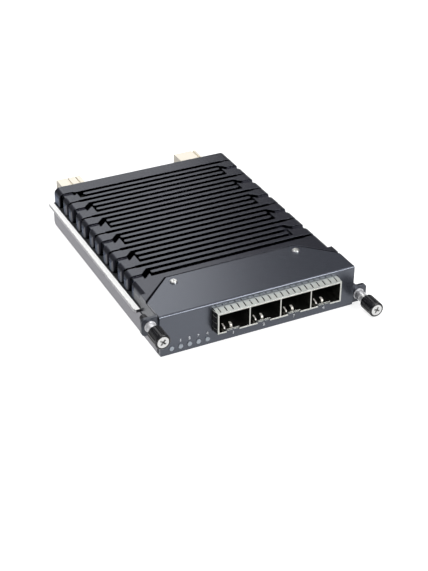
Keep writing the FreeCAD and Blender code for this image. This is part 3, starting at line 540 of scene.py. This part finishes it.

# %% [markdown]
# ### Bare metal
# The tray is plain plated sheet, dull and slightly brushed along its length. The rails are drawn bars with a
# pale satin skin, so their tops stay bright beside the black casting. Their sides are painted greyer and
# their front ends dark, as painted shade, and the strip along the cover is a painted shadow of the cover. The
# cage is tin-plated sheet. Its grounding fingers are a paler spring strip with painted shade on their sides.
# The small screws are nickel plated and the ferrules satin. The captive screws are bright in front and
# painted dark behind the ear, as painted shade, and the retaining rings and threads there are black, as
# painted shade too.

# %% Plate the sheet metal
rail_start = 0.0
# The rail's strip nearer the middle than this is a painted shadow of the cover.
cover_shadow_border = 45.15
collar_start = -10.0
tray_metal = new_finish(
    "plated_sheet", line_group,
    line_values((0.185, 0.182, 0.202), (0.220, 0.217, 0.237), (900.0, 25.0, 900.0)),
    edge=((0.62, 0.62, 0.64, 1), 0.2, 0.7), roughness=(0.34, 0.46), metallic=1.0, relief=0.003)
# The rails' sides are painted greyer and their front ends dark, as painted shade.
rail_metal = new_finish(
    "satin_rail", line_group,
    line_values((0.90, 0.90, 0.89), (0.96, 0.96, 0.95), (1500.0, 30.0, 1500.0)),
    edge=((0.98, 0.98, 0.98, 1), 0.15, 0.6), roughness=(0.40, 0.50), relief=0.002,
    painted_sides=((0.52, 0.52, 0.54), (0.05, 0.05, 0.055), None, rail_start),
    shade_beyond=((0.012, 0.012, 0.014), inwards, -cover_shadow_border))
cage_metal = new_finish(
    "tin_plate", line_group,
    line_values((0.46, 0.46, 0.43), (0.54, 0.54, 0.51), (900.0, 120.0, 900.0)),
    edge=((0.66, 0.66, 0.64, 1), 0.06, 0.8), roughness=(0.20, 0.30), metallic=1.0, relief=0.001)
# The fingers' sides are painted dark, as painted shade.
finger_metal = new_finish(
    "spring_strip", line_group,
    line_values((0.50, 0.52, 0.49), (0.57, 0.59, 0.56), (1400.0, 200.0, 1400.0)),
    edge=((0.66, 0.68, 0.65, 1), 0.05, 0.6), roughness=(0.28, 0.38), metallic=0.6, relief=0.001,
    painted_sides=((0.012, 0.012, 0.012), (0.56, 0.58, 0.55), None, collar_start))
dress(["base_tray"], tray_metal)
dress(["left_guide_rail", "right_guide_rail"], rail_metal)
dress(["port_cage", "cage_floor", "cage_divider_1", "cage_divider_2", "cage_divider_3"], cage_metal)
dress(["spring_collar"], finger_metal)

# %% Finish the screws and ferrules
ear_back = 3.0
nickel = new_finish(
    "nickel_plate", line_group,
    line_values((0.66, 0.66, 0.65), (0.74, 0.74, 0.73), (1800.0, 1800.0, 400.0)),
    edge=((0.92, 0.92, 0.91, 1), 0.06, 0.6), roughness=(0.22, 0.32), metallic=1.0, relief=0.001)
# Behind the ear, the captive screw is painted dark, as painted shade.
screw_steel = new_finish(
    "bright_screw_steel", line_group,
    line_values((0.62, 0.62, 0.62), (0.70, 0.70, 0.69), (1800.0, 1800.0, 400.0)),
    edge=((0.80, 0.80, 0.79, 1), 0.05, 0.5), roughness=(0.30, 0.40), metallic=0.7, relief=0.001,
    shade_beyond=((0.03, 0.03, 0.033), backwards, ear_back))
# The black of the rings and threads behind the ear is painted shade.
shaded_ring_steel = new_finish(
    "shaded_black_ring_steel", line_group,
    line_values((0.020, 0.020, 0.022), (0.030, 0.030, 0.033), (900.0, 900.0, 900.0)),
    edge=((0.08, 0.08, 0.085, 1), 0.05, 0.5), roughness=(0.40, 0.50), relief=0.001, specular=0.3)
satin_nickel = new_finish(
    "satin_nickel", line_group,
    line_values((0.70, 0.70, 0.72), (0.78, 0.78, 0.80), (1800.0, 1800.0, 400.0)),
    edge=((0.90, 0.90, 0.91, 1), 0.06, 0.6), roughness=(0.34, 0.44), metallic=0.65, relief=0.001)
dress(["flange_screws", "front_screws", "cover_screws", "board_screws", "board_standoffs"], nickel)
dress(["left_ferrule", "right_ferrule"], satin_nickel)
dress(["left_captive_screw", "right_captive_screw"], screw_steel)
dress(["left_retaining_ring", "right_retaining_ring"], shaded_ring_steel)

# %% [markdown]
# ### Plastics and the board
# The knobs are black and ribbed, with a slight shine and a highlight painted along each rib's edges. The
# backplane connectors are cream, and the lamp lenses milky. Inside, the board is green, with black packages
# and bare cans, and the contacts are gold.

# %% Mould the plastics
# The edge colour paints a highlight along each rib.
knob_plastic = new_finish(
    "black_knob", grain_group,
    grain_values((0.005, 0.005, 0.006), (0.008, 0.008, 0.010), fine=5000.0),
    edge=((0.12, 0.12, 0.13, 1), 0.10, 0.8), roughness=(0.20, 0.30), relief=0.004, specular=0.35)
socket_plastic = new_finish(
    "black_socket", grain_group, grain_values((0.010, 0.010, 0.010), (0.014, 0.014, 0.014), fine=5000.0),
    edge=((0.03, 0.03, 0.03, 1), 0.08, 0.6), roughness=(0.45, 0.6), relief=0.003)
cream_plastic = new_finish(
    "cream_connector", grain_group, grain_values((0.72, 0.67, 0.57), (0.77, 0.72, 0.63), fine=3000.0),
    edge=((0.84, 0.80, 0.72, 1), 0.15, 0.7), roughness=(0.42, 0.55), relief=0.004)
lens_plastic = new_finish(
    "milky_lens", grain_group,
    grain_values((0.33, 0.37, 0.43), (0.50, 0.55, 0.61), patch=1400.0, fine=3000.0),
    edge=((0.62, 0.66, 0.72, 1), 0.12, 0.8), roughness=(0.18, 0.30), relief=0.003, coat=0.4)
board_mask = new_finish(
    "green_board", grain_group, grain_values((0.010, 0.10, 0.045), (0.014, 0.13, 0.06), patch=300.0),
    edge=((0.42, 0.36, 0.20, 1), 0.1, 0.6), roughness=(0.30, 0.42), relief=0.006)
chip_plastic = new_finish(
    "black_package", grain_group, grain_values((0.016, 0.016, 0.017), (0.022, 0.022, 0.024), fine=5000.0),
    edge=((0.05, 0.05, 0.05, 1), 0.1, 0.6), roughness=(0.5, 0.62), relief=0.004)
pad_rubber = new_finish(
    "grey_pad", grain_group, grain_values((0.30, 0.31, 0.35), (0.36, 0.37, 0.41), patch=500.0),
    edge=((0.42, 0.43, 0.47, 1), 0.1, 0.6), roughness=(0.7, 0.85), relief=0.02)
gold = new_finish(
    "gold_contact", line_group, line_values((0.80, 0.58, 0.24), (0.90, 0.68, 0.32), (900.0, 900.0, 200.0)),
    edge=((0.98, 0.80, 0.46, 1), 0.05, 0.6), roughness=(0.18, 0.28), metallic=1.0, relief=0.001)
dress(["left_knob", "right_knob"], knob_plastic)
dress(["port_connector_1", "port_connector_2", "port_connector_3", "port_connector_4"], socket_plastic)
dress(["left_backplane_connector", "middle_backplane_connector", "right_backplane_connector"], cream_plastic)
dress(["light_pipes"], lens_plastic)
dress(["circuit_board"], board_mask)
dress(["switch_chip", "phy_chips", "power_modules"], chip_plastic)
dress(["thermal_pad"], pad_rubber)
dress(["capacitors"], nickel)
dress(["backplane_contacts"], gold)
print("finishes:", len(bpy.data.materials))

# %% [markdown]
# ## Socket contacts
# Each socket grips the module's edge with two rows of gold springs. A spring is a thin strip that dips
# towards the slot's middle and lifts again behind. Each is a strip along a bent path, and a socket's springs
# are one bmesh, because they never move apart.

# %% Make the contacts
def close_rows(mesh, rows):
    """Join rows of four corners into a closed bar."""
    for near, far in zip(rows, rows[1:]):
        for side in range(4):
            after = (side + 1) % 4
            mesh.faces.new((near[side], near[after], far[after], far[side]))
    mesh.faces.new(rows[0][::-1])
    mesh.faces.new(rows[-1])


def bent_strip(mesh, x, path, width, thickness):
    """A flat strip of metal along a path of (y, z), added to a bmesh."""
    rows = []
    for y, z in path:
        rows.append([
            mesh.verts.new((x - width / 2, y, z - thickness / 2)),
            mesh.verts.new((x + width / 2, y, z - thickness / 2)),
            mesh.verts.new((x + width / 2, y, z + thickness / 2)),
            mesh.verts.new((x - width / 2, y, z + thickness / 2)),
        ])
    close_rows(mesh, rows)


def add_piece(name, mesh, material, body):
    """Turn a bmesh into an object that moves with a body of the card."""
    data = bpy.data.meshes.new(name)
    bmesh.ops.recalc_face_normals(mesh, faces=mesh.faces)
    mesh.to_mesh(data)
    mesh.free()
    data.materials.append(material)
    piece = bpy.data.objects.new(name, data)
    bpy.context.collection.objects.link(piece)
    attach(piece, body)


port_count = 4
contact_count = 10
contact_pitch = 0.8 * mm
contact_width = 0.4 * mm
contact_sheet = 0.12 * mm
contact_start, contact_dip, contact_rise, contact_end = 0.5 * mm, 1.3 * mm, 3.2 * mm, 5.9 * mm
dip_share = 0.45
slot_half = 0.75 * mm
slot_height = 3.4 * mm
for port in range(1, port_count + 1):
    low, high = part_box("port_connector_%d" % port)
    middle = (low[0] + high[0]) / 2
    mouth = low[1]
    slot_middle = low[2] + slot_height
    comb = bmesh.new()
    for index in range(contact_count):
        x = middle + (index - (contact_count - 1) / 2) * contact_pitch
        for way in (-1, 1):
            wall = slot_middle + way * (slot_half - contact_sheet)
            dip = slot_middle + way * slot_half * dip_share
            path = [(mouth + contact_start, wall), (mouth + contact_dip, dip),
                    (mouth + contact_rise, wall), (mouth + contact_end, wall)]
            bent_strip(comb, x, path, contact_width, contact_sheet)
    add_piece("socket_contacts_%d" % port, comb, gold, "card")
print("contacts in a socket:", contact_count * 2)

# %% [markdown]
# ## Ejector springs
# Two small tongues stand over each port's floor, behind the latch tab. They push a released module outwards,
# and they are the only bright things inside the dark ports. A tongue is a ribbon along a path. It runs level
# and curls down at its front end, so some part of the curl always faces the light.

# %% Bend the springs
def tongue(mesh, root, front, width, drop, thickness, steps=8):
    """A ribbon that runs level from its root and curls down in a quarter circle at its front end."""
    along = Vector((front.x - root.x, front.y - root.y, 0)).normalized()
    across = Vector((along.y, -along.x, 0))
    rows = []
    for index in range(steps * 2 + 1):
        if index < steps:
            share = index / steps
            centre = root.lerp(front - along * drop, share)
            down = Vector((0, 0, -1))
        else:
            angle = (index - steps) / steps * math.pi / 2
            hub = front - along * drop - Vector((0, 0, drop))
            centre = hub + along * (drop * math.sin(angle)) + Vector((0, 0, drop * math.cos(angle)))
            down = (hub - centre).normalized()
        half = across * (width / 2)
        rows.append([mesh.verts.new(corner) for corner in (
            centre - half + down * thickness, centre + half + down * thickness,
            centre + half, centre - half)])
    close_rows(mesh, rows)


ejector_metal = new_finish(
    "bright_spring", line_group,
    line_values((0.93, 0.90, 0.84), (0.98, 0.95, 0.90), (1400.0, 200.0, 1400.0)),
    edge=((0.99, 0.97, 0.93, 1), 0.05, 0.5), roughness=(0.38, 0.48), metallic=0.3, relief=0.001)
port_pitch = 14.25 * mm
cage_floor_sheet = 0.35 * mm
tongue_sheet = 0.15 * mm
# Each tongue's root, front end, width and drop, from the port's middle, the cage's mouth and its floor.
tongues = (
    (Vector((-3.6, 3.9, 1.55)) * mm, Vector((-3.95, 0.9, 1.45)) * mm, 0.55 * mm, 0.7 * mm),
    (Vector((-0.2, 4.2, 1.3)) * mm, Vector((-0.35, 2.1, 1.2)) * mm, 0.95 * mm, 0.7 * mm),
)
cage_low, cage_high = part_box("port_cage")
floor_top = cage_low[2] + cage_floor_sheet
cage_middle = (cage_low[0] + cage_high[0]) / 2
for port in range(1, port_count + 1):
    port_middle = cage_middle + (port - (port_count + 1) / 2) * port_pitch
    start = Vector((port_middle, cage_low[1], floor_top))
    springs = bmesh.new()
    for root, front, width, drop in tongues:
        tongue(springs, start + root, start + front, width, drop, tongue_sheet)
    add_piece("ejector_springs_%d" % port, springs, ejector_metal, "card")
print("tongues in a port:", len(tongues))

# %% [markdown]
# ## Screw threads
# The captive screws end in a thread. A thread is one ridge that climbs round the shank, so its mesh is a
# triangular section swept along a helix, with its ends run down into the shank.

# %% Cut the threads
ridge_sink = 0.05 * mm
ridge_half = 0.42


def thread_ridge(axis_x, axis_z, start, end, radius, pitch, depth, steps=28):
    """A helical ridge round an axis that runs from front to back."""
    mesh = bmesh.new()
    turns = (end - start - pitch) / pitch
    count = int(turns * steps)
    foot = radius - ridge_sink
    rows = []
    for index in range(count + 1):
        share = index / count
        angle = 2 * math.pi * turns * share
        y = start + pitch / 2 + (end - start - pitch) * share
        rise = depth * min(1, share * count / steps * 2, (1 - share) * count / steps * 2)
        section = ((foot, -pitch * ridge_half), (radius + rise, 0), (foot, pitch * ridge_half))
        rows.append([mesh.verts.new((
            axis_x + reach * math.cos(angle), y + shift, axis_z + reach * math.sin(angle),
        )) for reach, shift in section])
    for near, far in zip(rows, rows[1:]):
        mesh.faces.new((near[0], near[1], far[1], far[0]))
        mesh.faces.new((near[1], near[2], far[2], far[1]))
    print("turns in a thread:", round(turns, 1))
    return mesh


thread_radius = 1.5 * mm
thread_pitch = 0.5 * mm
thread_depth = 0.09 * mm
thread_starts = 3.3 * mm
thread_ends = 0.45 * mm
for side in ("left", "right"):
    low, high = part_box(side + "_captive_screw")
    axis_x = (low[0] + high[0]) / 2
    axis_z = (low[2] + high[2]) / 2
    tip = high[1]
    ridge = thread_ridge(axis_x, axis_z, tip - thread_starts, tip - thread_ends, thread_radius,
                         thread_pitch, thread_depth)
    # The thread is black as painted shade behind the ear.
    add_piece(side + "_thread", ridge, shaded_ring_steel, side + "_thumbscrew")

# %% [markdown]
# ## Printed numbers
# The ports are numbered below the cage, and the lamps above their lenses, in thin white print. Text objects
# give clean outlines. They stand a few hundredths of a millimetre off the paint, as screen print does.

# %% Print the numbers
print_ink = new_finish(
    "white_print", grain_group, grain_values((0.84, 0.86, 0.90), (0.90, 0.92, 0.95), fine=4000.0),
    edge=((0.9, 0.9, 0.9, 1), 0.02, 0.0), roughness=(0.5, 0.6), relief=0.001)
print_thickness = 0.015 * mm
print_boldness = 0.05
size_of_height = 1.4


def print_number(name, number, x, z, height):
    text = bpy.data.curves.new(name, "FONT")
    text.body = str(number)
    text.size = height * size_of_height
    text.align_x = "CENTER"
    text.align_y = "CENTER"
    text.extrude = print_thickness
    text.offset = height * print_boldness
    text.materials.append(print_ink)
    piece = bpy.data.objects.new(name, text)
    piece.rotation_euler = (math.pi / 2, 0, 0)
    piece.location = (x, -print_thickness, z)
    bpy.context.collection.objects.link(piece)
    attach(piece, "card")


port_mark_height = 1.35 * mm
port_mark_aside = 1.9 * mm
port_mark_z = 2.3 * mm
for port in range(1, port_count + 1):
    low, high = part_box("port_connector_%d" % port)
    port_mark_x = (low[0] + high[0]) / 2 + port_mark_aside
    print_number("port_number_%d" % port, port, port_mark_x, port_mark_z, port_mark_height)

lens_left = -36.0 * mm
lens_pitch = 4.0 * mm
lens_mark_height = 1.25 * mm
lens_mark_z = 5.5 * mm
for port in range(1, port_count + 1):
    lens_mark_x = lens_left + (port - 1) * lens_pitch
    print_number("light_number_%d" % port, port, lens_mark_x, lens_mark_z, lens_mark_height)
print("numbers printed:", 2 * port_count)
